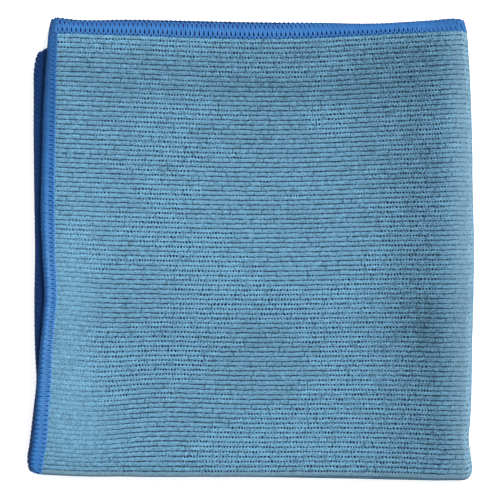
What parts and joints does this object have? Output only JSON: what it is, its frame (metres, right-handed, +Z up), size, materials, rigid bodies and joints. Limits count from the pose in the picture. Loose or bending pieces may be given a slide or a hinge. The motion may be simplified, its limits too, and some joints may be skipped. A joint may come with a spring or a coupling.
{
  "type": "microfibre cloth",
  "caption": "Square ribbed microfibre cloth with a bright overlocked hem, folded flat into a compact pad, for wiping, dusting and drying.",
  "frame": {"origin": "on the surface that the folded cloth lies on, under the middle of its outline", "axes": "+Z up through the layers, +X along the ribs towards the second fold, +Y across the ribs away from the first fold"},
  "size_m": [0.2026, 0.2108, 0.0091],
  "materials": {
    "knit": "matt ribbed microfibre knit, light steel blue",
    "edging": "overlock thread, bright blue, soft sheen"
  },
  "bodies": {
    "root": {"cloth": "knit"}
  },
  "joints": []
}
